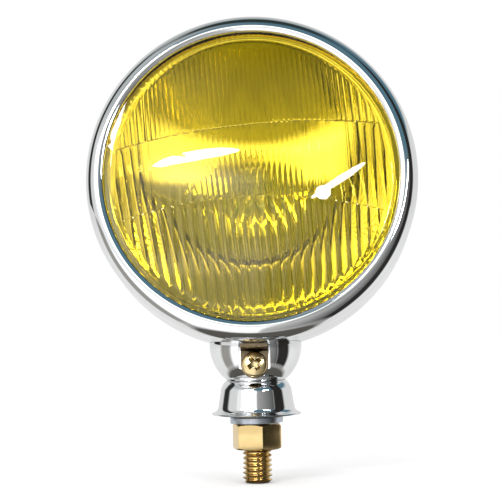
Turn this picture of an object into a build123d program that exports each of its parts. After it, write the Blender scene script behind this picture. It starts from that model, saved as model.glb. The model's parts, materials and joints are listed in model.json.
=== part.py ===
from build123d import *
import math
import os

# Round fog light on a swivelling half-ball foot, in millimetres.
# +Z runs up the mounting stud, the lamp faces -Y, and the origin is the centre of the
# pedestal's underside, which is the face that sits on the vehicle's bracket.

# ---- Driving dimensions ----------------------------------------------------------------

# Clearances
running_gap = 0.05      # radial gap of a turning or threaded fit
ball_gap = 0.10         # gap between the half-ball and the seats on each side of its wall
touch_gap = 0.02        # gap between two flat faces that bear on each other
sheet_gap = 0.15        # gap between formed sheet parts
cut_past = 3.0          # how far a cut runs past the wall that it goes through
join_overlap = 0.5      # how far two outlines of one piece run into each other

# Mounting hardware (3/8 inch coarse thread)
stud_radius = 4.7625
stud_tail = 10.8        # thread left bare below the nut
stud_head_radius = 7.0
stud_head_height = 3.5
stud_chamfer = 0.9
nut_across_flats = 14.29
nut_height = 8.33
nut_turn = 14.6         # how far the nut's flats are turned about the stud, in degrees
nut_chamfer = 0.7
nut_cone_reach = 0.2    # how far the end cones run past the nut's corners
washer_radius = 8.65
washer_free_height = 2.9
washer_split = 1.2
washer_split_slant = 25.0
washer_bore_play = 0.2
pedestal_bore_play = 0.15

# Pedestal cup
flange_radius = 14.5
flange_edge = 0.5
waist_radius = 12.4
waist_height = 2.4
flare_in = 0.6          # middle of the flare's curve beyond the waist
flare_up = 0.55         # and above the flange's edge
shoulder_radius = 11.4
shoulder_height = 8.3
seat_lip_radius = 9.5
relief_inner_radius = 9.2
relief_outer_radius = 10.0
relief_depth = 0.5

# Half-ball foot
ball_radius = 14.9
ball_wall = 2.0
ball_floor = 7.8        # underside of the ball above the mounting face
ball_skirt = 9.0        # straight wall above the ball's centre, trimmed by the bowl
saddle_half_angle = 36.0
slot_play = 0.6         # gap each side of the stud in the foot's slot
slot_end_play = 0.5     # degrees of slot beyond the last tilt
tilt_low = 3.0          # lowest tilt of the lamp above level, in degrees
tilt_rest = 12.0
tilt_high = 30.0
recess_width = 10.0
recess_floor = 10.4     # from the ball's centre forward to the recess's floor
recess_wall = 2.5

# Where the lamp's front stands from the ball's centre, in the lamp's own directions
front_ahead = 19.5
foot_sink = 1.8         # how far the ball's centre stands inside the bowl's widest circle

# Rim and glass
rim_radius = 53.3
rim_crown_width = 4.3   # from the widest edge in to the crest
rim_lip_width = 1.8     # from the crest in to the mouth
rim_lip_rise = 0.9      # the crest ahead of the lip
rim_lip_round = 0.5
rim_sheet = 0.8
rim_skirt = 5.0
rim_skirt_taper = 0.2
rim_bead = 0.8
rim_bead_height = 0.8
lens_edge_play = 2.2    # gap round the glass inside the rim
lens_thickness = 3.0
lens_dome_inset = 2.2   # foot of the domed part inside the rim's mouth
lens_curve = 105.0
gasket_thickness = 1.64
gasket_width = 3.8
reflector_edge_play = 1.3
reflector_sheet = 0.8
reflector_flange = 5.6
reflector_depth = 27.0
reflector_back = (0.72, 0.48)   # from a point of the dish out and back to its other face
reflector_flat_radius = 14.6
reflector_flat_depth = 26.0
bulb_hole_radius = 7.0

# Housing bowl
bowl_step = 0.6         # the rim's widest edge beyond the bowl's
bowl_depth = 60.0
bowl_round = 45.0       # depth of the rounded back, behind the bowl's straight side
bowl_side_curve = 42.8  # radius of the rounded sides
bowl_sheet = 0.9
bowl_edge_round = (0.3, 0.8)    # bevel of the shoulder's corner, in and back
neck_step = 2.5         # the neck inside the bowl's widest circle
access_radius = 9.0     # opening over the foot, for putting the stud in
inlet_offset = 20.0     # inlet's distance from the lamp's axis

# Rim clip and its screw
clip_width = 8.8
clip_sheet = 1.2
clip_bend = 0.8
clip_reach = 1.2        # front end of the clip behind the rim's widest edge
clip_hook_width = 5.6
clip_hook_place = 2.6
clip_hook_depth = 1.9
screw_below = 8.4       # screw's axis below the ball's centre
screw_radius = 2.0
screw_head_radius = 4.1
screw_head_height = 2.4
screw_head_round = 1.44
screw_tip = 0.5         # how far the tip stands past the foot's wall
screw_recess_length = 4.4
screw_recess_width = 1.1
screw_recess_depth = 1.6
screw_recess_taper = 12.0
screw_turn = 35.0       # how far the cross recess is turned, in degrees

# Lens clips and top hook
lens_clip_sheet = 0.5
lens_clip_arm = 0.7     # how far each arm's inner face runs in before it bends
lens_clip_play = 0.2
lens_clip_sweep = 9.0
lens_clip_angles = (20, 65, 115, 160, 215, 325)
hook_width = 7.0
hook_plate = 0.7
hook_front = 1.0        # front edge of the hook's plate behind the rim's widest edge
hook_rivet_spacing = 4.4
hook_rivet_depth = 2.15
rivet_radius = 0.7
rivet_head_radius = 1.1
rivet_head = 0.6

# Bulb and its seat
bulb_flange_radius = 11.0
bulb_flange = 1.0
bulb_stem_radius = 4.4
bulb_stem = 4.5
bulb_glass_radius = 5.0
bulb_glass_wall = 0.7
bulb_glass_length = 21.0
bulb_tail_radius = 4.6
bulb_tail = 8.0
filament_radius = 0.6
filament_length = 5.0
filament_ahead = 14.0
post_radius = 0.35
seat_ring_inner = 11.3
seat_ring_outer = 14.4
seat_ring_height = 2.0
seat_rivet_circle = 12.8
spring_wire = 0.45

# Wiring inside the bowl
lead_radius = 1.3
terminal_length = 9.0
terminal_width = 6.0
terminal_thickness = 3.6
terminal_round = 1.0
terminal_slot = (4.4, 1.2)
terminal_slot_depth = 5.4
terminal_back_gap = 12.5    # the terminal's middle from the deepest part of the bowl
grommet_bore = 3.2
grommet_hole = 5.0
grommet_flange_radius = 7.2
grommet_flange = 1.4
grommet_taper = 0.6
earth_angle = 40.0      # earth point's place round the lamp's axis, from straight down
earth_depth = 40.0
earth_screw_radius = 1.5
earth_head_radius = 3.0
earth_head = 1.6
earth_head_round = 0.8
earth_slot = 0.7
earth_tip = 0.4
earth_tag = 0.8
earth_tag_radius = 3.4
earth_lift = 0.35       # keeps the flat tag clear of the bowl's curved wall
earth_barrel_start = 3.6
earth_barrel_reach = 7.6
earth_barrel_depth = 2.4
earth_barrel_wall = 0.3
earth_barrel_sink = 0.2     # how far the barrel's round runs into the flat tag
earth_ear = 4.6         # how far the seat ring's earth ear stands out
earth_ear_width = 5.0

# Sizes that follow from those above
ball_height = ball_radius + ball_floor
bowl_radius = rim_radius - bowl_step
bowl_neck_radius = bowl_radius - neck_step
bowl_belly = bowl_depth - bowl_round    # end of the straight side, behind the rim's edge
axis_above = bowl_radius - foot_sink
rim_crest_radius = rim_radius - rim_crown_width
rim_mouth_radius = rim_crest_radius - rim_lip_width
lens_back = gasket_thickness + 2 * touch_gap
lens_front = lens_back + lens_thickness
rim_lip_face = lens_front + touch_gap
rim_crown = rim_lip_face + rim_sheet + rim_lip_rise
lens_radius = rim_radius - rim_sheet - lens_edge_play
lens_dome_radius = rim_mouth_radius - lens_dome_inset
reflector_rim_radius = rim_radius - rim_sheet - reflector_edge_play
reflector_mouth_radius = reflector_rim_radius - reflector_flange

# ---- Frames ----------------------------------------------------------------------------

tilt = math.radians(tilt_rest)
across = Vector(1, 0, 0)
ahead = Vector(0, -math.cos(tilt), math.sin(tilt))
above = Vector(0, math.sin(tilt), math.cos(tilt))
ball_centre = Vector(0, 0, ball_height)
rim_centre = ball_centre + ahead * front_ahead + above * axis_above

# face: x across, y up, z ahead. section: x outwards, y ahead, for turned outlines.
# side: x ahead, y up, for outlines seen from the side. stud_section: x outwards, y up.
face = Plane(origin=rim_centre, x_dir=across, z_dir=ahead)
section = Plane(origin=rim_centre, x_dir=across, z_dir=-above)
side = Plane(origin=rim_centre, x_dir=ahead, z_dir=-across)
ball_face = Plane(origin=ball_centre, x_dir=across, z_dir=ahead)
stud_section = Plane.XZ
lamp_axis = Axis(rim_centre, ahead)
ball_axis = Axis(ball_centre, above)
tilt_axis = Axis(ball_centre, across)

os.makedirs("parts", exist_ok=True)


def around_axis(angle):
    """Direction away from the lamp's axis, by its angle from across, in degrees."""
    return across * math.cos(math.radians(angle)) + above * math.sin(math.radians(angle))


def save(piece, name):
    """Label a finished piece and write it to its own file."""
    piece.part.label = name
    export_step(piece.part, f"parts/{name}.step")


# ---- Mounting hardware -----------------------------------------------------------------

stud_bore = stud_radius + running_gap
seat_radius = ball_radius + ball_gap
saddle_radius = ball_radius - ball_wall - ball_gap
saddle_top = ball_height - saddle_radius * math.cos(math.radians(saddle_half_angle))
nut_top = -(washer_free_height + 2 * touch_gap)
stud_bottom = nut_top - nut_height - stud_tail


def seat_height(radius):
    """Height of the pedestal's round seat at a distance from the stud's axis."""
    return ball_height - math.sqrt(seat_radius**2 - radius**2)


with BuildPart() as stud:
    with BuildSketch(Plane.XY.offset(stud_bottom)):
        Circle(stud_radius)
    extrude(amount=saddle_top + touch_gap - stud_bottom)
    chamfer(stud.edges().group_by(Axis.Z)[0], length=stud_chamfer)
    with BuildSketch(Plane.XY.offset(saddle_top + touch_gap)):
        Circle(stud_head_radius)
    extrude(amount=stud_head_height)
    fillet(stud.edges().group_by(Axis.Z)[-1], radius=stud_chamfer)
save(stud, "stud")

with BuildPart() as pedestal_cup:
    bore = stud_radius + pedestal_bore_play
    with BuildSketch(stud_section):
        with BuildLine():
            Polyline((bore, seat_height(bore)), (bore, 0), (flange_radius, 0),
                     (flange_radius, flange_edge))
            ThreePointArc((flange_radius, flange_edge),
                          (waist_radius + flare_in, flange_edge + flare_up),
                          (waist_radius, waist_height))
            wall = Line((waist_radius, waist_height), (shoulder_radius, shoulder_height))
            lip = (seat_lip_radius, seat_height(seat_lip_radius))
            TangentArc((shoulder_radius, shoulder_height), lip, tangent=wall % 1)
            middle = (seat_lip_radius + bore) / 2
            ThreePointArc(lip, (middle, seat_height(middle)), (bore, seat_height(bore)))
        make_face()
    revolve(axis=Axis.Z)
    # The groove parts the face that sits on the bracket from the one under the washer
    with BuildSketch(Plane.XY):
        Circle(relief_outer_radius)
        Circle(relief_inner_radius, mode=Mode.SUBTRACT)
    extrude(amount=relief_depth, mode=Mode.SUBTRACT)
save(pedestal_cup, "pedestal_cup")

with BuildPart() as lock_washer:
    with BuildSketch(Plane.XY.offset(-touch_gap)):
        Circle(washer_radius)
        Circle(stud_radius + washer_bore_play, mode=Mode.SUBTRACT)
    extrude(amount=-washer_free_height)
    with BuildSketch(Plane.YZ.offset(-washer_radius - cut_past)):
        with Locations((0, -touch_gap - washer_free_height / 2)):
            Rectangle(washer_split, 2 * washer_free_height, rotation=-washer_split_slant)
    extrude(amount=washer_radius + cut_past, mode=Mode.SUBTRACT)
save(lock_washer, "lock_washer")

with BuildPart() as hex_nut:
    nut_corner_radius = nut_across_flats / math.sqrt(3)
    cone_radius = nut_corner_radius + nut_cone_reach
    with BuildSketch(Plane.XY.offset(nut_top)):
        RegularPolygon(nut_corner_radius, 6, rotation=nut_turn + 30)
        Circle(stud_bore, mode=Mode.SUBTRACT)
    extrude(amount=-nut_height)
    # Both ends are coned off to the flats, as a turned nut's corners are
    with BuildSketch(stud_section):
        with BuildLine():
            Polyline((0, nut_top - nut_height), (nut_across_flats / 2, nut_top - nut_height),
                     (cone_radius, nut_top - nut_height + nut_chamfer),
                     (cone_radius, nut_top - nut_chamfer),
                     (nut_across_flats / 2, nut_top), (0, nut_top), close=True)
        make_face()
    revolve(axis=Axis.Z, mode=Mode.INTERSECT)
save(hex_nut, "hex_nut")

# ---- Saddle washer inside the foot -----------------------------------------------------

with BuildPart() as saddle_washer:
    edge = saddle_radius * math.sin(math.radians(saddle_half_angle))
    half = math.radians(saddle_half_angle / 2)
    with BuildSketch(stud_section):
        with BuildLine():
            Line((0, saddle_top), (edge, saddle_top))
            ThreePointArc((edge, saddle_top),
                          (saddle_radius * math.sin(half),
                           ball_height - saddle_radius * math.cos(half)),
                          (0, ball_height - saddle_radius))
            Line((0, ball_height - saddle_radius), (0, saddle_top))
        make_face()
    revolve(axis=Axis.Z)
    with BuildSketch(Plane.XY):
        Circle(stud_bore)
    extrude(amount=ball_height, mode=Mode.SUBTRACT)
save(saddle_washer, "saddle_washer")

# ---- Housing bowl ----------------------------------------------------------------------

shoulder_depth = rim_skirt + 2 * sheet_gap
bowl_lip = reflector_sheet

# The bowl is a rounded back that runs smoothly into rounded sides. Both arcs share a
# tangent where they meet, which sets the radius of the back.
side_centre = bowl_radius - bowl_side_curve
back_curve = ((side_centre**2 + bowl_round**2 - bowl_side_curve**2)
              / (2 * (bowl_round - bowl_side_curve)))
back_centre = back_curve - bowl_depth
join_turn = math.asin(side_centre / (back_curve - bowl_side_curve))
join_angle = math.degrees(join_turn)
join_depth = bowl_belly + bowl_side_curve * math.cos(join_turn)


def bowl_curve(inset):
    """Arcs of the bowl's outline from its back to its belly, set in by a distance."""
    CenterArc((0, back_centre), back_curve - inset, 270, join_angle)
    CenterArc((side_centre, -bowl_belly), bowl_side_curve - inset, 270 + join_angle,
              90 - join_angle)


def bowl_at(depth, inset):
    """The bowl's radius and slope at a depth behind the rim's edge, set in by a distance."""
    if depth < join_depth:
        middle, centre_depth, curve = side_centre, bowl_belly, bowl_side_curve - inset
    else:
        middle, centre_depth, curve = 0, -back_centre, back_curve - inset
    slope = math.asin((depth - centre_depth) / curve)
    return middle + curve * math.cos(slope), slope


inlet_slope = math.asin(inlet_offset / back_curve)
inlet_depth = back_curve * math.cos(inlet_slope) - back_centre
inlet_point = rim_centre - ahead * inlet_depth - above * inlet_offset
inlet_out = -ahead * math.cos(inlet_slope) - above * math.sin(inlet_slope)
inlet = Plane(origin=inlet_point, x_dir=across, z_dir=inlet_out)

earth_radius, earth_slope = bowl_at(earth_depth, bowl_sheet)
earth_side = (across * math.sin(math.radians(earth_angle))
              - above * math.cos(math.radians(earth_angle)))
earth_point = rim_centre - ahead * earth_depth + earth_side * earth_radius
earth_in = ahead * math.sin(earth_slope) - earth_side * math.cos(earth_slope)
earth_along = -ahead * math.cos(earth_slope) - earth_side * math.sin(earth_slope)
earth = Plane(origin=earth_point, x_dir=earth_along, z_dir=earth_in)
hook_plane = Plane(origin=rim_centre - ahead * hook_rivet_depth, x_dir=across, z_dir=above)

with BuildPart() as housing_bowl:
    neck_inner = bowl_neck_radius - bowl_sheet
    with BuildSketch(section):
        with BuildLine():
            Polyline((bowl_neck_radius, -bowl_lip), (bowl_neck_radius, -shoulder_depth),
                     (bowl_radius - bowl_edge_round[0], -shoulder_depth),
                     (bowl_radius, -shoulder_depth - bowl_edge_round[1]),
                     (bowl_radius, -bowl_belly))
            bowl_curve(0)
            Line((0, -bowl_depth), (0, -bowl_depth + bowl_sheet))
            bowl_curve(bowl_sheet)
            Polyline((bowl_radius - bowl_sheet, -bowl_belly),
                     (bowl_radius - bowl_sheet, -shoulder_depth - bowl_sheet),
                     (neck_inner, -shoulder_depth - bowl_sheet), (neck_inner, -bowl_lip),
                     (bowl_neck_radius, -bowl_lip))
        make_face()
    revolve(axis=lamp_axis)
    # Opening over the foot
    with BuildSketch(Plane(origin=ball_centre, z_dir=above)):
        Circle(access_radius)
    extrude(amount=ball_skirt, both=True, mode=Mode.SUBTRACT)
    # Holes for the grommet and the earth screw
    with BuildSketch(inlet):
        Circle(grommet_hole)
    extrude(amount=bowl_sheet + cut_past, both=True, mode=Mode.SUBTRACT)
    with BuildSketch(earth):
        Circle(earth_screw_radius + running_gap)
    extrude(amount=cut_past, both=True, mode=Mode.SUBTRACT)
    # Rivet holes for the top hook
    with BuildSketch(hook_plane.offset(neck_inner - cut_past)):
        with GridLocations(hook_rivet_spacing, 0, 2, 1):
            Circle(rivet_radius + running_gap)
    extrude(amount=bowl_sheet + 2 * cut_past, mode=Mode.SUBTRACT)
save(housing_bowl, "housing_bowl")

# ---- Half-ball foot --------------------------------------------------------------------


def slot_direction(angle):
    """Direction from the ball's centre to the slot, by the lamp's tilt in degrees."""
    turn = math.radians(angle)
    return -ahead * math.sin(turn) - above * math.cos(turn)


cavity = ball_radius - ball_wall

# The lamp's outside, which trims the top of the foot
with BuildPart() as lamp_outline:
    with BuildSketch(section):
        with BuildLine():
            trim_radius = bowl_radius + running_gap
            rim_clear = rim_radius + ball_gap
            Polyline((0, 0), (rim_clear, 0), (rim_clear, -shoulder_depth),
                     (trim_radius, -shoulder_depth), (trim_radius, -bowl_belly))
            bowl_curve(-running_gap)
            Line((0, -bowl_depth - running_gap), (0, 0))
        make_face()
    revolve(axis=lamp_axis)

# The ball's outside, which bounds the wall behind the recess
with BuildPart() as ball_outline:
    with BuildSketch(ball_face):
        with BuildLine():
            Polyline((0, -ball_radius), (0, ball_skirt), (ball_radius, ball_skirt),
                     (ball_radius, 0))
            CenterArc((0, 0), ball_radius, 270, 90)
        make_face()
    revolve(axis=ball_axis)

with BuildPart() as recess_backing:
    with BuildSketch(ball_face.offset(recess_floor - recess_wall)):
        Rectangle(recess_width + 2 * ball_wall, 2 * ball_radius)
    extrude(amount=recess_wall)
    add(ball_outline.part, mode=Mode.INTERSECT)

with BuildPart() as half_ball_foot:
    with BuildSketch(ball_face):
        with BuildLine():
            Polyline((cavity, 0), (cavity, ball_skirt), (ball_radius, ball_skirt),
                     (ball_radius, 0))
            CenterArc((0, 0), ball_radius, 270, 90)
            Line((0, -ball_radius), (0, -cavity))
            CenterArc((0, 0), cavity, 270, 90)
        make_face()
    revolve(axis=ball_axis)
    add(recess_backing.part)
    # Front recess, open to the front
    with BuildSketch(ball_face.offset(recess_floor)):
        Rectangle(recess_width, 2 * ball_radius)
    extrude(amount=ball_radius, mode=Mode.SUBTRACT)
    # Threaded hole for the clip screw
    with BuildSketch(ball_face.offset(recess_floor)):
        with Locations((0, -screw_below)):
            Circle(screw_radius + running_gap)
    extrude(amount=-2 * recess_wall, mode=Mode.SUBTRACT)
    # Slot for the stud, from the lowest tilt to the highest
    slot_start = tilt_low - slot_end_play
    slot_end = tilt_high + slot_end_play
    slot_half = stud_radius + slot_play
    for angle in (slot_start, slot_end):
        slot_plane = Plane(origin=ball_centre, x_dir=across, z_dir=slot_direction(angle))
        with BuildSketch(slot_plane.offset(cavity / 2)):
            Circle(slot_half)
        extrude(amount=ball_radius, mode=Mode.SUBTRACT)
    start_radial = slot_direction(slot_start)
    with BuildSketch(Plane(origin=ball_centre, x_dir=across, z_dir=across.cross(start_radial))):
        with Locations((0, cavity + ball_wall / 2)):
            Rectangle(2 * slot_half, 3 * ball_wall)
    revolve(axis=tilt_axis, revolution_arc=slot_end - slot_start, mode=Mode.SUBTRACT)
    add(lamp_outline.part, mode=Mode.SUBTRACT)
save(half_ball_foot, "half_ball_foot")

# ---- Rim and what it holds -------------------------------------------------------------

skirt_radius = rim_radius - rim_skirt_taper

with BuildPart() as rim:
    with BuildSketch(section):
        with BuildLine():
            ThreePointArc((rim_mouth_radius, rim_lip_face + rim_sheet),
                          (rim_mouth_radius + rim_lip_round, rim_crown - rim_lip_round / 2),
                          (rim_crest_radius, rim_crown))
            EllipticalCenterArc((rim_crest_radius, 0), rim_crown_width, rim_crown,
                                start_angle=0, arc_size=90)
            Polyline((rim_radius, 0), (skirt_radius, -rim_skirt),
                     (skirt_radius - rim_sheet - rim_bead, -rim_skirt),
                     (skirt_radius - rim_sheet - rim_bead, -rim_skirt + rim_bead_height),
                     (skirt_radius - rim_sheet, -rim_skirt + rim_bead_height),
                     (rim_radius - rim_sheet, 0))
            EllipticalCenterArc((rim_crest_radius, 0), rim_crown_width - rim_sheet,
                                rim_crown - rim_sheet, start_angle=0, arc_size=90)
            Polyline((rim_crest_radius, rim_crown - rim_sheet),
                     (rim_crest_radius - rim_lip_round, rim_lip_face),
                     (rim_mouth_radius, rim_lip_face),
                     (rim_mouth_radius, rim_lip_face + rim_sheet))
        make_face()
    revolve(axis=lamp_axis)
    # Slot in the skirt that the clip hooks into
    with BuildSketch(face.offset(-clip_hook_place + clip_sheet / 2 + sheet_gap)):
        with Locations((0, -rim_radius)):
            Rectangle(clip_hook_width + 2 * sheet_gap, 2 * cut_past)
    extrude(amount=-clip_sheet - 2 * sheet_gap, mode=Mode.SUBTRACT)
save(rim, "rim")

with BuildPart() as lens:
    dome_rise = lens_curve - math.sqrt(lens_curve**2 - lens_dome_radius**2)
    inner_curve = lens_curve - lens_thickness
    inner_dome = lens_dome_radius - 1
    inner_rise = inner_curve - math.sqrt(inner_curve**2 - inner_dome**2)
    with BuildSketch(section):
        with BuildLine():
            dome_angle = math.degrees(math.asin(lens_dome_radius / lens_curve))
            CenterArc((0, lens_front + dome_rise - lens_curve), lens_curve,
                      90 - dome_angle, dome_angle)
            Polyline((lens_dome_radius, lens_front), (lens_radius, lens_front),
                     (lens_radius, lens_back), (inner_dome, lens_back))
            inner_angle = math.degrees(math.asin(inner_dome / inner_curve))
            CenterArc((0, lens_back + inner_rise - inner_curve), inner_curve,
                      90 - inner_angle, inner_angle)
            Line((0, lens_back + inner_rise), (0, lens_front + dome_rise))
        make_face()
    revolve(axis=lamp_axis)
save(lens, "lens")

with BuildPart() as lens_gasket:
    with BuildSketch(section):
        with Locations((lens_radius - gasket_width / 2, lens_back / 2)):
            Rectangle(gasket_width, gasket_thickness)
    revolve(axis=lamp_axis)
save(lens_gasket, "lens_gasket")

with BuildPart() as reflector:
    # A parabola through the mouth's edge, drawn as a smooth curve through a few of its points
    focal = reflector_mouth_radius**2 / (4 * (reflector_depth - reflector_sheet))

    def dish(radius):
        return -reflector_depth + radius**2 / (4 * focal)

    spans = 4
    dish_width = reflector_mouth_radius - reflector_flat_radius
    steps = [reflector_flat_radius + dish_width * i / spans for i in range(spans + 1)]
    front_curve = [(r, dish(r)) for r in steps]
    rear_curve = [(r + reflector_back[0], dish(r) - reflector_back[1]) for r in steps]
    with BuildSketch(section):
        with BuildLine():
            Spline(*front_curve)
            Polyline(front_curve[-1], (reflector_mouth_radius, 0), (reflector_rim_radius, 0),
                     (reflector_rim_radius, -reflector_sheet),
                     (rear_curve[-1][0], -reflector_sheet), rear_curve[-1])
            Spline(*reversed(rear_curve))
            Polyline(rear_curve[0], (rear_curve[0][0], -reflector_flat_depth - reflector_sheet),
                     (bulb_hole_radius, -reflector_flat_depth - reflector_sheet),
                     (bulb_hole_radius, -reflector_flat_depth),
                     (front_curve[0][0], -reflector_flat_depth), front_curve[0])
        make_face()
    revolve(axis=lamp_axis)
    with BuildSketch(face.offset(-reflector_flat_depth)):
        with PolarLocations(seat_rivet_circle, 3, start_angle=90):
            Circle(rivet_radius + running_gap)
    extrude(amount=2 * reflector_sheet, both=True, mode=Mode.SUBTRACT)
save(reflector, "reflector")

with BuildPart() as lens_clips:
    inside = skirt_radius - rim_sheet - sheet_gap
    bend = inside - lens_clip_arm
    nearest = bowl_neck_radius + lens_clip_play
    top = -reflector_sheet - touch_gap
    bottom = -rim_skirt + rim_bead_height + touch_gap
    for angle in lens_clip_angles:
        outward = around_axis(angle - lens_clip_sweep / 2)
        start = Plane(origin=rim_centre, x_dir=outward, z_dir=outward.cross(ahead))
        with BuildSketch(start):
            with BuildLine():
                Polyline((inside, top), (inside, top - lens_clip_sheet),
                         (nearest + lens_clip_sheet, (top + bottom) / 2),
                         (inside, bottom + lens_clip_sheet), (inside, bottom),
                         (bend, bottom), (nearest, (top + bottom) / 2), (bend, top),
                         close=True)
            make_face()
        revolve(axis=lamp_axis, revolution_arc=lens_clip_sweep)
save(lens_clips, "lens_clips")

# ---- Rim clip and its screw ------------------------------------------------------------

clip_top = -rim_radius - sheet_gap
clip_back = recess_floor - front_ahead + touch_gap
clip_end = -axis_above - screw_below

with BuildPart() as rim_clip:
    with BuildSketch(side):
        with BuildLine():
            clip_front = clip_back + clip_sheet
            upper = FilletPolyline((-clip_reach, clip_top), (clip_back, clip_top),
                                   (clip_back, clip_end), radius=clip_bend + clip_sheet)
            lower = FilletPolyline((-clip_reach, clip_top - clip_sheet),
                                   (clip_front, clip_top - clip_sheet),
                                   (clip_front, clip_end), radius=clip_bend)
            Line(upper @ 0, lower @ 0)
            Line(upper @ 1, lower @ 1)
        make_face()
    extrude(amount=clip_width / 2, both=True)
    with BuildSketch(face.offset(clip_back)):
        with Locations((0, clip_end)):
            Circle(clip_width / 2)
    extrude(amount=clip_sheet)
    # Hook that reaches up through the rim's slot
    with BuildSketch(side):
        with Locations((-clip_hook_place, clip_top - clip_sheet / 2 + clip_hook_depth / 2)):
            Rectangle(clip_sheet, clip_hook_depth + clip_sheet)
    extrude(amount=clip_hook_width / 2, both=True)
    with BuildSketch(face.offset(clip_back)):
        with Locations((0, clip_end)):
            Circle(screw_radius + sheet_gap)
    extrude(amount=clip_sheet, mode=Mode.SUBTRACT)
save(rim_clip, "rim_clip")

with BuildPart() as clip_screw:
    head_base = face.offset(clip_back + clip_sheet + touch_gap)
    with BuildSketch(head_base):
        with Locations((0, clip_end)):
            Circle(screw_head_radius)
    extrude(amount=screw_head_height)
    fillet(clip_screw.faces().sort_by(lamp_axis)[-1].edges(), radius=screw_head_round)
    for turn in (screw_turn, screw_turn + 90):
        with BuildSketch(head_base.offset(screw_head_height)):
            with Locations((0, clip_end)):
                Rectangle(screw_recess_length, screw_recess_width, rotation=turn)
        extrude(amount=-screw_recess_depth, taper=screw_recess_taper, mode=Mode.SUBTRACT)
    with BuildSketch(head_base):
        with Locations((0, clip_end)):
            Circle(screw_radius)
    extrude(amount=-(clip_sheet + 2 * touch_gap + recess_wall + screw_tip))
save(clip_screw, "clip_screw")

# ---- Top hook --------------------------------------------------------------------------

with BuildPart() as rim_hook:
    with BuildSketch(side):
        with BuildLine():
            base = bowl_neck_radius + touch_gap
            nose_back = -rim_skirt + rim_bead_height + sheet_gap
            nose_top = rim_radius - rim_sheet - 2 * sheet_gap
            Polyline((-hook_front, base), (nose_back, base), (nose_back, nose_top),
                     (nose_back + hook_plate, nose_top),
                     (nose_back + hook_plate, base + hook_plate),
                     (-hook_front, base + hook_plate), close=True)
        make_face()
    extrude(amount=hook_width / 2, both=True)
    with BuildSketch(hook_plane.offset(bowl_neck_radius)):
        with GridLocations(hook_rivet_spacing, 0, 2, 1):
            Circle(rivet_radius + running_gap)
    extrude(amount=2 * hook_plate, mode=Mode.SUBTRACT)
save(rim_hook, "rim_hook")

with BuildPart() as hook_rivets:
    # The flat heads stand clear of the neck's curved inside
    rivet_edge = hook_rivet_spacing / 2 + rivet_head_radius
    rivet_foot = math.sqrt((bowl_neck_radius - bowl_sheet)**2 - rivet_edge**2) - touch_gap
    rivet_top = bowl_neck_radius + hook_plate + 2 * touch_gap
    with BuildSketch(hook_plane.offset(rivet_foot - rivet_head)):
        with GridLocations(hook_rivet_spacing, 0, 2, 1):
            Circle(rivet_head_radius)
    extrude(amount=rivet_head)
    with BuildSketch(hook_plane.offset(rivet_top)):
        with GridLocations(hook_rivet_spacing, 0, 2, 1):
            Circle(rivet_head_radius)
    extrude(amount=rivet_head)
    with BuildSketch(hook_plane.offset(rivet_foot)):
        with GridLocations(hook_rivet_spacing, 0, 2, 1):
            Circle(rivet_radius)
    extrude(amount=rivet_top - rivet_foot)
save(hook_rivets, "hook_rivets")

# ---- Bulb and its seat -----------------------------------------------------------------

seat_face = -reflector_flat_depth - reflector_sheet - touch_gap
seat_ring_back = seat_face - seat_ring_height
flange_back = seat_face - bulb_flange
earth_ear_plane = Plane(origin=rim_centre, x_dir=earth_side, z_dir=ahead)

with BuildPart() as bulb_seat_ring:
    with BuildSketch(face.offset(seat_ring_back)):
        Circle(seat_ring_outer)
        Circle(seat_ring_inner, mode=Mode.SUBTRACT)
        with PolarLocations(seat_rivet_circle, 3, start_angle=90):
            Circle(rivet_radius + running_gap, mode=Mode.SUBTRACT)
    extrude(amount=seat_ring_height)
    # Ear for the earth lead
    with BuildSketch(earth_ear_plane.offset(seat_ring_back)):
        with Locations((seat_ring_outer + (earth_ear - join_overlap) / 2, 0)):
            Rectangle(earth_ear + join_overlap, earth_ear_width)
    extrude(amount=earth_tag)
save(bulb_seat_ring, "bulb_seat_ring")

with BuildPart() as seat_rivets:
    front_of_rivet = -reflector_flat_depth + touch_gap
    back_of_rivet = seat_ring_back - touch_gap
    with BuildSketch(face.offset(front_of_rivet)):
        with PolarLocations(seat_rivet_circle, 3, start_angle=90):
            Circle(rivet_head_radius)
    extrude(amount=rivet_head)
    with BuildSketch(face.offset(back_of_rivet - rivet_head)):
        with PolarLocations(seat_rivet_circle, 3, start_angle=90):
            Circle(rivet_head_radius)
    extrude(amount=rivet_head)
    with BuildSketch(face.offset(back_of_rivet)):
        with PolarLocations(seat_rivet_circle, 3, start_angle=90):
            Circle(rivet_radius)
    extrude(amount=front_of_rivet - back_of_rivet)
save(seat_rivets, "seat_rivets")

stem_front = seat_face + bulb_stem

with BuildPart() as bulb_base:
    with BuildSketch(section):
        with BuildLine():
            Polyline((0, stem_front), (bulb_stem_radius, stem_front),
                     (bulb_stem_radius, seat_face), (bulb_flange_radius, seat_face),
                     (bulb_flange_radius, flange_back), (bulb_tail_radius, flange_back),
                     (bulb_tail_radius, flange_back - bulb_tail), (0, flange_back - bulb_tail),
                     close=True)
        make_face()
    revolve(axis=lamp_axis)
save(bulb_base, "bulb_base")

with BuildPart() as bulb_glass:
    glass_back = stem_front + touch_gap
    glass_tip = glass_back + bulb_glass_length
    inside = bulb_glass_radius - bulb_glass_wall
    tip_centre = glass_tip - bulb_glass_radius
    with BuildSketch(section):
        with BuildLine():
            Line((inside, glass_back), (bulb_glass_radius, glass_back))
            Line((bulb_glass_radius, glass_back), (bulb_glass_radius, tip_centre))
            CenterArc((0, tip_centre), bulb_glass_radius, 0, 90)
            Line((0, glass_tip), (0, glass_tip - bulb_glass_wall))
            CenterArc((0, tip_centre), inside, 0, 90)
            Line((inside, tip_centre), (inside, glass_back))
        make_face()
    revolve(axis=lamp_axis)
save(bulb_glass, "bulb_glass")

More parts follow.
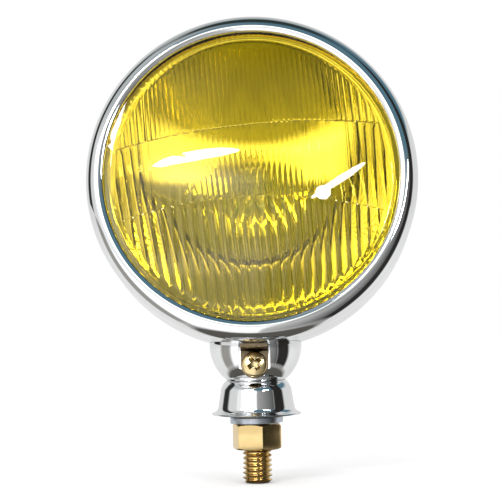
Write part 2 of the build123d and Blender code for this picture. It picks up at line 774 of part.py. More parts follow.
with BuildPart() as bulb_filament:
    filament_depth = stem_front + filament_ahead
    with BuildSketch(Plane(origin=rim_centre + ahead * filament_depth, z_dir=across)):
        Circle(filament_radius)
    extrude(amount=filament_length / 2, both=True)
    with BuildSketch(face.offset(stem_front + touch_gap)):
        with GridLocations(filament_length - 2 * post_radius, 0, 2, 1):
            Circle(post_radius)
    extrude(amount=filament_ahead)
save(bulb_filament, "bulb_filament")


def arc_radii(points):
    """Radius at each corner of a route: as large as the shorter of its two runs allows."""
    radii = []
    for before, corner, after in zip(points, points[1:], points[2:]):
        run_in, run_out = corner - before, after - corner
        turn = math.radians(run_in.get_angle(run_out))
        shorter = min(run_in.length, run_out.length)
        radii.append(0.45 * shorter / math.tan(turn / 2))
    return radii


def tube(points, radius):
    """Round wire or lead along straight runs joined by tangent arcs."""
    with BuildPart() as wire:
        with BuildLine():
            route = FilletPolyline(*points, radius=arc_radii(points))
        with BuildSketch(Plane(origin=route @ 0, z_dir=route % 0)):
            Circle(radius)
        sweep()
    return wire


def lamp_point(x, y, z):
    """A point given across, up and ahead of the lamp's front centre."""
    return rim_centre + across * x + above * y + ahead * z


wire_back = seat_ring_back - touch_gap - spring_wire
wire_in = flange_back - touch_gap - spring_wire
spring_half = 6.5
spring_side = [(13.0, wire_back), (8.2, wire_back), (6.2, wire_in),
               (-6.2, wire_in), (-8.2, wire_back), (-13.4, wire_back)]
spring_route = ([lamp_point(-spring_half, y, z) for y, z in spring_side]
                + [lamp_point(spring_half, y, z) for y, z in reversed(spring_side)])
bulb_spring = tube(spring_route, spring_wire)
save(bulb_spring, "bulb_spring")

# ---- Wiring inside the bowl ------------------------------------------------------------

lead_start = flange_back - bulb_tail - touch_gap
terminal_top = -inlet_offset - 1.0
terminal_depth = terminal_back_gap - bowl_depth
lead_route = [lamp_point(0, y, z) for y, z in (
    (0, lead_start), (0, lead_start - 4.5), (-4.5, -50.0), (-11.0, -50.5),
    (-16.5, terminal_depth), (terminal_top, terminal_depth))]
bulb_lead = tube(lead_route, lead_radius)
save(bulb_lead, "bulb_lead")

with BuildPart() as lead_terminal:
    with BuildSketch(Plane(origin=lamp_point(0, terminal_top - touch_gap, terminal_depth),
                           x_dir=across, z_dir=-above)):
        RectangleRounded(terminal_width, terminal_thickness, terminal_round)
    extrude(amount=terminal_length)
    with BuildSketch(Plane(origin=lamp_point(0, terminal_top - terminal_length, terminal_depth),
                           x_dir=across, z_dir=above)):
        Rectangle(*terminal_slot)
    extrude(amount=terminal_slot_depth, mode=Mode.SUBTRACT)
save(lead_terminal, "lead_terminal")

with BuildPart() as inlet_grommet:
    grommet_sag = grommet_flange_radius**2 / (2 * bowl_round)
    groove_radius = grommet_hole - running_gap
    outer_face = touch_gap + grommet_flange
    groove_back = -bowl_sheet - grommet_sag - touch_gap
    with BuildSketch(Plane(origin=inlet_point, x_dir=across,
                           z_dir=across.cross(inlet_out))):
        with BuildLine():
            Polyline((grommet_bore, outer_face),
                     (grommet_flange_radius - grommet_taper, outer_face),
                     (grommet_flange_radius, touch_gap), (groove_radius, touch_gap),
                     (groove_radius, groove_back), (grommet_flange_radius, groove_back),
                     (grommet_flange_radius - grommet_taper, groove_back - grommet_flange),
                     (grommet_bore, groove_back - grommet_flange), close=True)
        make_face()
    revolve(axis=Axis(inlet_point, inlet_out))
save(inlet_grommet, "inlet_grommet")

with BuildPart() as earth_terminal:
    with BuildSketch(earth.offset(earth_lift)):
        Circle(earth_tag_radius)
        with Locations(((earth_barrel_start + join_overlap) / 2, 0)):
            Rectangle(earth_barrel_start + join_overlap, 2 * lead_radius)
        Circle(earth_screw_radius + running_gap, mode=Mode.SUBTRACT)
    extrude(amount=earth_tag)
    barrel_radius = lead_radius + earth_barrel_wall
    barrel_height = earth_lift + earth_tag + barrel_radius - earth_barrel_sink
    with BuildSketch(Plane(origin=earth_point + earth_in * barrel_height
                           + earth_along * earth_barrel_start, z_dir=earth_along)):
        Circle(barrel_radius)
    extrude(amount=earth_barrel_reach - earth_barrel_start)
    with BuildSketch(Plane(origin=earth_point + earth_in * barrel_height
                           + earth_along * earth_barrel_reach, z_dir=-earth_along)):
        Circle(lead_radius + running_gap)
    extrude(amount=earth_barrel_depth + touch_gap, mode=Mode.SUBTRACT)
save(earth_terminal, "earth_terminal")

with BuildPart() as earth_screw:
    earth_head_base = earth_lift + earth_tag + touch_gap
    with BuildSketch(earth.offset(earth_head_base)):
        Circle(earth_head_radius)
    extrude(amount=earth_head)
    top_edges = earth_screw.faces().sort_by(Axis(earth_point, earth_in))[-1].edges()
    fillet(top_edges, radius=earth_head_round)
    with BuildSketch(earth.offset(earth_head_base + earth_head)):
        Rectangle(earth_slot, 2 * earth_head_radius)
    extrude(amount=-earth_slot, mode=Mode.SUBTRACT)
    with BuildSketch(earth.offset(earth_head_base)):
        Circle(earth_screw_radius)
    extrude(amount=-(earth_head_base + bowl_sheet + earth_tip))
save(earth_screw, "earth_screw")

lead_in = (earth_point + earth_in * barrel_height
           + earth_along * (earth_barrel_reach - earth_barrel_depth))
ear_radius = seat_ring_outer + earth_ear / 2


def earth_plane_point(radius, depth):
    """A point in the plane through the lamp's axis and the earth screw."""
    return rim_centre + earth_side * radius + ahead * depth


earth_route = [lead_in, lead_in + earth_along * 5.5, earth_plane_point(28.0, -48.5),
               earth_plane_point(20.5, -46.5), earth_plane_point(ear_radius, -41.5),
               earth_plane_point(ear_radius, seat_ring_back - touch_gap)]
earth_lead = tube(earth_route, lead_radius)
save(earth_lead, "earth_lead")
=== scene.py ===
import bpy
import json
import math
from mathutils import Matrix, Vector


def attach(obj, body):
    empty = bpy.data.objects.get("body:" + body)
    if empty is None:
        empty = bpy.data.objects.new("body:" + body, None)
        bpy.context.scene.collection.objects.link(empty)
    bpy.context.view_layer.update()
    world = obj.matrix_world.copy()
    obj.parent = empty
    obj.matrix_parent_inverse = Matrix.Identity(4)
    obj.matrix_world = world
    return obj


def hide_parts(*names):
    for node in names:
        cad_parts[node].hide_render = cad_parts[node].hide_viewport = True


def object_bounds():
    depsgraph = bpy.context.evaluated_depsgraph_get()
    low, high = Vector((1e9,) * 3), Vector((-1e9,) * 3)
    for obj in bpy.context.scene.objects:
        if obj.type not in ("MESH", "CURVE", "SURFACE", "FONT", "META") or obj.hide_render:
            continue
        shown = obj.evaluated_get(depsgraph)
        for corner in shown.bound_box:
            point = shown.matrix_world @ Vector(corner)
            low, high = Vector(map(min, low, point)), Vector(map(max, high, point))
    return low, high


# Round fog light on a swivelling half-ball foot, in metres, in the part's own frame.
# Outlines are drawn in millimetres and scaled as they are drawn.

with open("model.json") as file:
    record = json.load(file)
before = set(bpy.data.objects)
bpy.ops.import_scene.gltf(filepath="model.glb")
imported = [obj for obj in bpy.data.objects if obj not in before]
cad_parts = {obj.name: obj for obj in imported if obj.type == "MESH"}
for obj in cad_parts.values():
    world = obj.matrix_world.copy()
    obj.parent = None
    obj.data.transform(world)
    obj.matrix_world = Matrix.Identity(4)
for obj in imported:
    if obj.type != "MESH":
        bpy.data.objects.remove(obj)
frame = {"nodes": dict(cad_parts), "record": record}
nodes = frame["nodes"]
cad_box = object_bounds()

MM = 0.001

# ---- Places ----------------------------------------------------------------------------

TILT = math.radians(12.0)
BALL_HEIGHT = 22.7
FRONT_AHEAD = 19.5
AXIS_ABOVE = 50.9
RIM_RADIUS = 53.3
STUD_RADIUS = 4.7625
STUD_BOTTOM = -22.07
THREAD_PITCH = 1.5875
NUT_TOP = -2.94
NUT_HEIGHT = 8.33
NUT_FLATS = 14.29
NUT_TURN = 14.6

across = Vector((1, 0, 0))
above = Vector((0, math.sin(TILT), math.cos(TILT)))
ahead = Vector((0, -math.cos(TILT), math.sin(TILT)))
ball_centre = Vector((0, 0, BALL_HEIGHT)) * MM
front_centre = ball_centre + (ahead * FRONT_AHEAD + above * AXIS_ABOVE) * MM


def frame_matrix(origin, x_dir, y_dir, z_dir):
    """The matrix that places a piece drawn in a local frame."""
    turn = Matrix((x_dir, y_dir, z_dir)).transposed()
    return Matrix.Translation(origin) @ turn.to_4x4()


# x across, y above, z ahead of the middle of the lamp's front
lamp = frame_matrix(front_centre, across, above, ahead)
# x the other way across, y ahead, z above the middle of the ball
ball = frame_matrix(ball_centre, -across, ahead, above)
# x across, y above, z ahead of the clip screw's place on the strap
SCREW_BACK = -9.08
SCREW_BELOW = -59.3
screw = lamp @ Matrix.Translation(Vector((0, SCREW_BELOW, SCREW_BACK)) * MM)

inlet_mount = next(m for m in frame["record"]["mounts"] if m["name"] == "cable_inlet")
inlet_out = Vector(inlet_mount["axis"])
INLET_FACE = 1.42       # the grommet's outer face beyond the bowl
inlet = frame_matrix(Vector(inlet_mount["pos_m"]) - inlet_out * INLET_FACE * MM, across,
                     inlet_out.cross(across), inlet_out)

# ---- Modelling helpers -----------------------------------------------------------------


def deselect():
    """Leave object mode's selection empty."""
    bpy.ops.object.select_all(action="DESELECT")


def only(piece):
    """Select one piece and make it active."""
    deselect()
    piece.select_set(True)
    bpy.context.view_layer.objects.active = piece


def edit(piece, select="DESELECT"):
    """Open one piece in edit mode with all or none of it selected."""
    only(piece)
    bpy.ops.object.mode_set(mode="EDIT")
    bpy.ops.mesh.select_mode(type="VERT")
    bpy.ops.mesh.select_all(action=select)


def done():
    """Leave edit mode."""
    bpy.ops.object.mode_set(mode="OBJECT")


def apply_modifiers(piece):
    """Apply every modifier on a piece, in order."""
    only(piece)
    for modifier in list(piece.modifiers):
        bpy.ops.object.modifier_apply(modifier=modifier.name)


def clean(piece, distance=0.0005):
    """Join doubled corners and point every face outwards."""
    edit(piece, "SELECT")
    bpy.ops.mesh.remove_doubles(threshold=distance * MM)
    bpy.ops.mesh.dissolve_degenerate(threshold=distance * MM)
    bpy.ops.mesh.delete_loose(use_verts=True, use_edges=True, use_faces=False)
    bpy.ops.mesh.select_all(action="SELECT")
    bpy.ops.mesh.normals_make_consistent(inside=False)
    done()


def smooth(piece, angle=30):
    """Shade a piece smooth, apart from edges sharper than an angle."""
    only(piece)
    bpy.ops.object.shade_smooth_by_angle(angle=math.radians(angle))


def place(piece, matrix):
    """Put a piece drawn in a local frame where it belongs, with its place in its mesh."""
    piece.matrix_world = matrix
    only(piece)
    bpy.ops.object.transform_apply(location=True, rotation=True, scale=True)
    return piece


def chain(name, points):
    """Edges through points in millimetres, drawn by extruding one corner."""
    deselect()
    bpy.ops.mesh.primitive_plane_add(size=MM, location=(0, 0, 0))
    piece = bpy.context.object
    piece.name = name
    edit(piece, "SELECT")
    bpy.ops.mesh.merge(type="CENTER")
    bpy.ops.transform.translate(value=Vector(points[0]) * MM)
    for before, after in zip(points, points[1:]):
        step = {"value": (Vector(after) - Vector(before)) * MM}
        bpy.ops.mesh.extrude_region_move(TRANSFORM_OT_translate=step)
    done()
    return piece


def in_section(points):
    """Points given outwards and along, placed in the plane that is spun."""
    return [(r, 0, h) for r, h in points]


def arc(centre, radii, start, end, steps):
    """Points along an elliptical arc, angles in degrees from outwards towards along."""
    points = []
    for i in range(steps + 1):
        turn = math.radians(start + (end - start) * i / steps)
        points.append((centre[0] + radii[0] * math.cos(turn),
                       centre[1] + radii[1] * math.sin(turn)))
    return points


def softened(points, radius, steps=3):
    """A closed outline with its sharp corners rounded."""
    count = len(points)
    rounded = []
    for i in range(count):
        before, corner, after = (Vector(points[(i + k) % count]) for k in (-1, 0, 1))
        run_in, run_out = corner - before, after - corner
        bend = run_in.angle(run_out, 0)
        reach = min(radius * math.tan(bend / 2) if bend < 3 else radius,
                    0.45 * run_in.length, 0.45 * run_out.length)
        if bend < math.radians(25) or corner.x < 0.001:
            rounded.append(tuple(corner))
            continue
        start = corner - run_in.normalized() * reach
        end = corner + run_out.normalized() * reach
        for k in range(steps + 1):
            t = k / steps
            rounded.append(tuple(start * (1 - t)**2 + corner * 2 * t * (1 - t) + end * t**2))
    return rounded


def spun(name, points, steps=192, angle=30, closed=True, turn=360.0, rise=0.0, turns=1):
    """A piece turned about its local z axis from an outline given outwards and along."""
    outline = list(points) + ([points[0]] if closed else [])
    piece = chain(name, in_section(outline))
    if closed:
        edit(piece, "SELECT")
        bpy.ops.mesh.remove_doubles(threshold=0.0001 * MM)
        done()
    screw_modifier = piece.modifiers.new("turn", "SCREW")
    screw_modifier.axis = "Z"
    screw_modifier.angle = math.radians(turn)
    screw_modifier.steps = steps
    screw_modifier.render_steps = steps
    screw_modifier.screw_offset = rise * MM
    screw_modifier.iterations = turns
    screw_modifier.use_merge_vertices = True
    screw_modifier.merge_threshold = 0.0005 * MM
    apply_modifiers(piece)
    clean(piece)
    smooth(piece, angle)
    return piece


def cylinder(name, radius, start, end, corners=64, matrix=None, tip=None):
    """A cylinder or cone between two heights of a local frame."""
    deselect()
    tip = radius if tip is None else tip
    bpy.ops.mesh.primitive_cone_add(vertices=corners, radius1=radius * MM, radius2=tip * MM,
                                    depth=(end - start) * MM,
                                    location=(0, 0, (start + end) / 2 * MM))
    piece = bpy.context.object
    piece.name = name
    only(piece)
    bpy.ops.object.transform_apply(location=True, rotation=True, scale=True)
    return place(piece, matrix) if matrix else piece


def block(name, size, centre, matrix=None):
    """A block of a size about a centre, in a local frame."""
    deselect()
    bpy.ops.mesh.primitive_cube_add(size=MM, location=Vector(centre) * MM)
    piece = bpy.context.object
    piece.name = name
    piece.scale = size
    only(piece)
    bpy.ops.object.transform_apply(location=True, rotation=True, scale=True)
    return place(piece, matrix) if matrix else piece


def combine(piece, tool, operation="DIFFERENCE"):
    """Cut a piece with a tool, keep what they share, or join them."""
    modifier = piece.modifiers.new("cut", "BOOLEAN")
    modifier.operation = operation
    modifier.solver = "EXACT"
    modifier.object = tool
    apply_modifiers(piece)
    bpy.data.objects.remove(tool)
    return piece


def bevelled(piece, width, segments=2, angle=30):
    """Round a piece's sharp edges."""
    modifier = piece.modifiers.new("edges", "BEVEL")
    modifier.width = width * MM
    modifier.segments = segments
    modifier.limit_method = "ANGLE"
    modifier.angle_limit = math.radians(angle)
    modifier.use_clamp_overlap = True
    apply_modifiers(piece)
    clean(piece)
    return piece


def close_ends(piece):
    """Fill the open loops of a shell."""
    edit(piece)
    bpy.ops.mesh.select_mode(type="EDGE")
    bpy.ops.mesh.select_non_manifold()
    bpy.ops.mesh.fill_holes(sides=0)
    done()
    clean(piece)
    return piece


def finish_piece(piece, body, slot, finish, *replaced):
    """Paint a piece, let it ride on its body and take over the nodes it stands for."""
    piece.data.materials.clear()
    piece.data.materials.append(finish)
    piece.data.name = piece.name
    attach(piece, body)
    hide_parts(*replaced)

# ---- Rim -------------------------------------------------------------------------------

rim = spun("rim_shell", [
    (47.2, 4.85), (47.2, 5.3), *arc((49.0, 5.3), (1.8, 1.1), 168, 90, 8),
    *arc((49.0, 0), (4.3, 6.4), 88, 0, 26), (53.27, -1.2), (53.2, -3.0), (53.12, -4.55),
    (53.05, -4.82), (52.85, -4.97), (52.6, -5.0), (51.8, -5.0), (51.55, -4.9), (51.5, -4.6),
    (51.6, -4.27), (51.85, -4.2), (52.3, -4.15), (52.5, 0),
    *arc((49.0, 0), (3.5, 5.6), 0, 90, 20), (48.75, 5.2), (48.5, 4.75), (48.4, 4.7),
    (47.35, 4.7), (47.25, 4.74)], steps=256, angle=50)
place(rim, lamp)
combine(rim, block("clip_slot", (5.9, 6, 1.5), (0, -RIM_RADIUS, -2.6), lamp))
clean(rim)
smooth(rim, 50)

# ---- Lens ------------------------------------------------------------------------------

LENS_TURN = math.radians(5.0)
LENS_EDGE = 44.0            # foot of the hollow side of the dome
DOME_EDGE = 45.0            # foot of the outside of the dome
LENS_BACK = 1.68
LENS_FRONT = 4.68
FRONT_CURVE = 105.0
BACK_CURVE = 102.0
FINE_FLUTE, SIDE_FLUTE, WIDE_FLUTE = 1.6, 2.4, 3.2
COLUMN = FINE_FLUTE / 6     # width of one column of the fluted side
RIDGE_HALF = 0.22           # half the width of the ridge along a divider
RIDGE_RISE = 0.3
RELIEF_FADE = 0.7           # distance over which the relief dies out at the edge
DOME_RINGS = 25
LOW_ROWS, MIDDLE_ROWS, HIGH_ROWS = 18, 14, 20


def upper_divider(u):
    """Height of the line between the lens's upper and middle bands."""
    return 14.65 - 0.0010 * u**2


def lower_divider(u):
    """Height of the line between the lens's middle and lower bands."""
    return -8.5 - 0.066 * u - 0.00264 * u**2


def fluting(u, pitch, depth):
    """Relief of a row of round flutes with sharp valleys between them."""
    part = (u / pitch) % 1.0
    return depth * (1 - (2 * part - 1)**2)


def band_relief(u, band):
    """Relief of the lens's back at a distance across, for its low, middle or high band."""
    wide = abs(u)
    if band == "low":
        return fluting(u, WIDE_FLUTE, 0.34)
    if band == "high":
        if wide > 32:
            return fluting(u - 32, SIDE_FLUTE, 0.26)
        return fluting(u, FINE_FLUTE, 0.22)
    if wide < 16:
        return fluting(u, FINE_FLUTE, 0.17)
    return fluting(u, WIDE_FLUTE, 0.12 if 25.6 < wide < 35.2 else 0.22)


# Columns keep their distance, and close up at both ends to keep the outline round
inner_columns = [COLUMN * i for i in range(-156, 157)]
end_angles = [math.radians(71.2 + 18.8 * i / 14) for i in range(15)]
end_columns = [LENS_EDGE * math.sin(angle) for angle in end_angles]
columns = [-x for x in reversed(end_columns)] + inner_columns + end_columns


def lens_rows(u):
    """Heights of one column's corners, with their bands and the dividers' ridges."""
    half = math.sqrt(max(LENS_EDGE**2 - u**2, 0))
    low = min(max(lower_divider(u), -half), half)
    high = min(max(upper_divider(u), low), half)
    rows = []
    for i in range(LOW_ROWS + 1):
        rows.append((-half + (low - RIDGE_HALF + half) * i / LOW_ROWS, "low"))
    rows.append((low, "ridge"))
    for i in range(MIDDLE_ROWS + 1):
        rows.append((low + RIDGE_HALF + (high - low - 2 * RIDGE_HALF) * i / MIDDLE_ROWS,
                     "middle"))
    rows.append((high, "ridge"))
    for i in range(HIGH_ROWS + 1):
        rows.append((high + RIDGE_HALF + (half - high - RIDGE_HALF) * i / HIGH_ROWS, "high"))
    return [(min(max(v, -half), half), band) for v, band in rows]


lens_grid = [lens_rows(u) for u in columns]
row_count = len(lens_grid[0])
deselect()
bpy.ops.mesh.primitive_grid_add(x_subdivisions=len(columns) - 1, y_subdivisions=row_count - 1,
                                size=1.0, location=(0, 0, 0))
lens = bpy.context.object
lens.name = "fluted_lens"
for corner in lens.data.vertices:
    column = round((corner.co.x + 0.5) * (len(columns) - 1))
    row = round((corner.co.y + 0.5) * (row_count - 1))
    u = columns[column]
    v, band = lens_grid[column][row]
    from_axis = min(math.hypot(u, v), LENS_EDGE)
    hollow = math.sqrt(BACK_CURVE**2 - from_axis**2) - math.sqrt(BACK_CURVE**2 - LENS_EDGE**2)
    relief = RIDGE_RISE if band == "ridge" else band_relief(u, band)
    fade = min((LENS_EDGE - from_axis) / RELIEF_FADE, 1.0)
    corner.co = Vector((u, v, LENS_BACK + hollow - relief * fade)) * MM
front_rise = math.sqrt(FRONT_CURVE**2 - DOME_EDGE**2)
lens_rings = [(50.0, LENS_BACK), (50.3, LENS_BACK + 0.3), (50.3, LENS_FRONT - 0.3),
              (50.0, LENS_FRONT), (45.4, LENS_FRONT), (DOME_EDGE, LENS_FRONT + 0.1)]
for i in range(1, DOME_RINGS):
    ring_radius = DOME_EDGE * (1 - i / DOME_RINGS)
    lens_rings.append((ring_radius, LENS_FRONT + math.sqrt(FRONT_CURVE**2 - ring_radius**2)
                       - front_rise))
clean(lens, 0.002)
edit(lens)
bpy.ops.mesh.select_mode(type="EDGE")
bpy.ops.mesh.select_non_manifold()
ring_now, height_now = LENS_EDGE, LENS_BACK
for ring_radius, height in lens_rings:
    bpy.ops.mesh.extrude_region_move(
        TRANSFORM_OT_translate={"value": (0, 0, (height - height_now) * MM)})
    spread = ring_radius / ring_now
    bpy.ops.transform.resize(value=(spread, spread, 1), center_override=(0, 0, 0))
    ring_now, height_now = ring_radius, height
bpy.ops.mesh.merge(type="CENTER")
bpy.ops.transform.translate(
    value=(0, 0, (FRONT_CURVE - math.sqrt(FRONT_CURVE**2 - ring_now**2)) * MM))
done()
clean(lens, 0.002)
smooth(lens, 24)
place(lens, lamp @ Matrix.Rotation(LENS_TURN, 4, "Z"))

# A soft ring between the glass and the reflector's flange
seal = spun("glass_seal", softened([(49.1, 0.02), (50.3, 0.02), (50.3, 1.66), (49.1, 1.66)],
                                   0.35, 3), steps=160, angle=40)
place(seal, lamp)

# ---- Reflector -------------------------------------------------------------------------

DISH_MOUTH, DISH_FLAT, DISH_DEPTH = 45.6, 14.6, 27.0
focal = DISH_MOUTH**2 / (4 * (DISH_DEPTH - 0.8))


def dish(radius):
    """Depth of the reflector at a distance from its axis."""
    return -DISH_DEPTH + radius**2 / (4 * focal)


dish_steps = [DISH_FLAT + (DISH_MOUTH - DISH_FLAT) * i / 30 for i in range(31)]
dish_front = [(r, dish(r)) for r in dish_steps]
dish_rear = [(r + 0.72, dish(r) - 0.48) for r in dish_steps[:-1:2]]
reflector = spun("reflector_dish", [
    (7.0, -26.2), (7.2, -26.0), (14.3, -26.0), (14.5, -25.92), *dish_front, (45.7, -0.35),
    (46.0, -0.06), (46.3, 0), (51.0, 0), (51.2, -0.2), (51.2, -0.6), (51.0, -0.8),
    (46.6, -0.8), *reversed(dish_rear), (15.3, -26.8), (7.2, -26.8), (7.0, -26.6)],
    steps=192, angle=40)
place(reflector, lamp)

# ---- Housing bowl ----------------------------------------------------------------------

BOWL_RADIUS, BOWL_DEPTH, BOWL_SHEET = 52.7, 60.0, 0.9
SIDE_CURVE, SIDE_DEPTH, BACK_ROUND = 42.8, 15.0, 45.0
side_centre = BOWL_RADIUS - SIDE_CURVE
back_curve = ((side_centre**2 + BACK_ROUND**2 - SIDE_CURVE**2)
              / (2 * (BACK_ROUND - SIDE_CURVE)))
join_angle = math.degrees(math.asin(side_centre / (back_curve - SIDE_CURVE)))


def bowl_curve(inset):
    """The bowl's rounded side and back as points, set in by a distance."""
    side = arc((side_centre, -SIDE_DEPTH), (SIDE_CURVE - inset,) * 2, 0, join_angle - 90, 40)
    back = arc((0, back_curve - BOWL_DEPTH), (back_curve - inset,) * 2, join_angle - 90, -90,
               14)
    return side + back[1:]


bowl = spun("bowl_shell", [
    (50.2, -0.95), (50.2, -4.9), (50.35, -5.2), (50.6, -5.3), (52.2, -5.3), (52.5, -5.4),
    (52.65, -5.65), (52.7, -6.1), *bowl_curve(0), *reversed(bowl_curve(BOWL_SHEET)),
    (51.8, -6.2), (49.3, -6.2), (49.3, -0.95), (49.45, -0.8), (50.05, -0.8)],
    steps=256, angle=50)
place(bowl, lamp)
combine(bowl, cylinder("foot_opening", 9.0, -9, 9, 64, ball))
combine(bowl, cylinder("inlet_hole", 5.0, -4, 4, 64, inlet))
clean(bowl)
smooth(bowl, 50)

# ---- Pedestal cup ----------------------------------------------------------------------

SEAT_RADIUS = 15.0
SEAT_EDGE = 9.35
CUP_BORE = 4.9125


def seat_at(radius):
    """Height of the cup's round seat at a distance from the stud's axis."""
    return BALL_HEIGHT - math.sqrt(SEAT_RADIUS**2 - radius**2)


seat_steps = [CUP_BORE + (SEAT_EDGE - CUP_BORE) * i / 12 for i in range(13)]
seat = [(radius, seat_at(radius)) for radius in seat_steps]
cup = spun("pedestal", [
    *seat, (9.5, seat_at(9.5) + 0.03), (9.72, 11.06), (10.1, 10.72), (10.65, 9.95),
    (11.05, 9.2), (11.28, 8.7), (11.4, 8.3), (11.6, 7.1), (11.9, 5.4), (12.15, 3.9),
    (12.3, 3.0), (12.42, 2.3), (12.6, 1.75), (12.92, 1.3), (13.35, 0.98), (13.9, 0.74),
    (14.2, 0.62), (14.42, 0.46), (14.5, 0.28), (14.42, 0.08), (14.25, 0), (10.0, 0),
    (10.0, 0.5), (9.2, 0.5), (9.2, 0), (5.1, 0), (CUP_BORE, 0.2)], steps=160, angle=40)

# ---- Stud, nut and washer --------------------------------------------------------------

THREAD_DEPTH = 0.93

def threaded(name, start, end):
    """A rod with a coarse screw thread from one height to another."""
    root, crest = STUD_RADIUS - THREAD_DEPTH, STUD_RADIUS
    p = THREAD_PITCH
    tooth = [(root, 0), (root + 0.04, 0.1 * p), (crest - 0.06, 0.42 * p), (crest, 0.47 * p),
             (crest, 0.57 * p), (crest - 0.06, 0.62 * p), (root + 0.04, 0.94 * p), (root, p)]
    turns = math.ceil((end - start) / p) + 2
    rod = spun(name, tooth, steps=56, closed=False, rise=p, turns=turns)
    place(rod, Matrix.Translation(Vector((0, 0, start - p)) * MM))
    close_ends(rod)
    return rod


stud = threaded("threaded_stud", STUD_BOTTOM, 12.0)
combine(stud, spun("rod_length", [
    (0, STUD_BOTTOM), (3.75, STUD_BOTTOM), (4.95, STUD_BOTTOM + 1.1), (4.95, 12.18),
    (0, 12.18)], 64), "INTERSECT")
stud_head = spun("stud_head", [
    (0, 12.16), (6.8, 12.16), (7.0, 12.36), (7.0, 14.9), (6.8, 15.3), (6.4, 15.55),
    (6.0, 15.62), (0, 15.62)], 64)
combine(stud, stud_head, "UNION")
clean(stud)
smooth(stud, 32)

nut = cylinder("coarse_nut", NUT_FLATS / math.sqrt(3), NUT_TOP - NUT_HEIGHT, NUT_TOP, 6,
               Matrix.Rotation(math.radians(NUT_TURN), 4, "Z"))
nut_bottom = NUT_TOP - NUT_HEIGHT
nut_face = NUT_FLATS / 2 - 0.15
nut_corner = NUT_FLATS / math.sqrt(3) + 0.3
combine(nut, spun("nut_cone", [
    (0, nut_bottom), (nut_face, nut_bottom), (nut_corner, nut_bottom + 0.78),
    (nut_corner, NUT_TOP - 0.78), (nut_face, NUT_TOP), (0, NUT_TOP)], 96), "INTERSECT")
combine(nut, spun("nut_bore", [
    (0, nut_bottom - 1), (6.3, nut_bottom - 1), (4.85, nut_bottom + 0.45),
    (4.85, NUT_TOP - 0.45), (6.3, NUT_TOP + 1), (0, NUT_TOP + 1)], 72))
clean(nut)
bevelled(nut, 0.16, 3, 20)
smooth(nut, 30)

# One turn of square wire, cut through, with its ends sprung apart
washer = spun("split_washer", softened([
    (4.97, -2.9), (8.6, -2.9), (8.6, -0.9), (4.97, -0.9)], 0.3, 3), steps=120, turn=351.0,
    rise=0.84)
place(washer, Matrix.Rotation(math.radians(184.5), 4, "Z"))
close_ends(washer)
bevelled(washer, 0.1, 2, 50)
smooth(washer, 35)

# ---- Strap and its screw ---------------------------------------------------------------

STRAP_WIDTH, STRAP_SHEET = 8.8, 1.2
strap_top = -53.45 - STRAP_SHEET / 2
strap_face = -9.08 + STRAP_SHEET / 2
strap_end = SCREW_BELOW
BEND = 1.4
strap_line = [(0, strap_top, -1.2), (0, strap_top, -3.5), (0, strap_top, -5.6),
              (0, strap_top, strap_face + BEND)]
for i in range(1, 8):
    bend_turn = math.radians(90 * i / 8)
    strap_line.append((0, strap_top - BEND + BEND * math.cos(bend_turn),
                       strap_face + BEND - BEND * math.sin(bend_turn)))
strap_line += [(0, strap_top - BEND, strap_face), (0, strap_top - 2.6, strap_face),
               (0, strap_end + 0.8, strap_face), (0, strap_end, strap_face)]
strap = chain("rim_strap", strap_line)
edit(strap, "SELECT")
bpy.ops.transform.translate(value=(-STRAP_WIDTH / 2 * MM, 0, 0))
strap_columns = [-STRAP_WIDTH / 2 * math.cos(math.pi * i / 20) for i in range(21)]
for left, right in zip(strap_columns, strap_columns[1:]):
    bpy.ops.mesh.extrude_region_move(
        TRANSFORM_OT_translate={"value": ((right - left) * MM, 0, 0)})
done()
for corner in strap.data.vertices:
    if abs(corner.co.y / MM - strap_end) < 0.01:
        x = corner.co.x / MM
        corner.co.y -= math.sqrt(max((STRAP_WIDTH / 2)**2 - x**2, 0)) * MM
clean(strap)
wall = strap.modifiers.new("wall", "SOLIDIFY")
wall.thickness = STRAP_SHEET * MM
wall.offset = 0
wall.use_even_offset = True
apply_modifiers(strap)
combine(strap, block("hook_tab", (5.6, 2.4, 1.2), (0, -53.0, -2.6)), "UNION")
combine(strap, cylinder("screw_hole", 2.2, -3, 3, 48,
                        Matrix.Translation(Vector((0, strap_end, strap_face)) * MM)))
clean(strap)
bevelled(strap, 0.22, 3, 40)
smooth(strap, 40)
place(strap, lamp)

head_base = 1.22
strap_screw = spun("strap_screw", [
    (0, -3.0), (1.7, -3.0), (2.0, -2.6), (2.0, head_base), (4.0, head_base),
    (4.1, head_base + 0.12), (4.1, head_base + 0.85),
    *arc((0, head_base + 0.85), (4.1, 1.53), 8, 90, 16)], 96, 40)
for turn_of_slot in (35.0, 125.0):
    slot_matrix = Matrix.Rotation(math.radians(turn_of_slot), 4, "Z")
    slot_tool = block("recess_arm", (5.6, 1.7, 2.4), (0, 0, head_base + 1.5))
    for corner in slot_tool.data.vertices:
        if corner.co.z < (head_base + 1.0) * MM:
            corner.co.x *= 0.5
            corner.co.y *= 0.7
    place(slot_tool, slot_matrix)
    combine(strap_screw, slot_tool)
clean(strap_screw)
bevelled(strap_screw, 0.08, 2, 45)
smooth(strap_screw, 35)
place(strap_screw, screw)

# ---- Grommet ---------------------------------------------------------------------------

GROMMET_BORE, GROMMET_EDGE, GROMMET_WAIST = 3.2, 7.2, 4.95
inner_lip = -0.9 - GROMMET_EDGE**2 / 90 - 0.02
grommet = spun("cable_grommet", softened([
    (GROMMET_BORE, INLET_FACE), (6.3, INLET_FACE), (GROMMET_EDGE, 0.75), (GROMMET_EDGE, 0.02),
    (GROMMET_WAIST, 0.02), (GROMMET_WAIST, inner_lip), (GROMMET_EDGE, inner_lip),
    (6.6, inner_lip - 1.4), (GROMMET_BORE, inner_lip - 1.4)], 0.4, 4), 96, 40)
place(grommet, inlet)

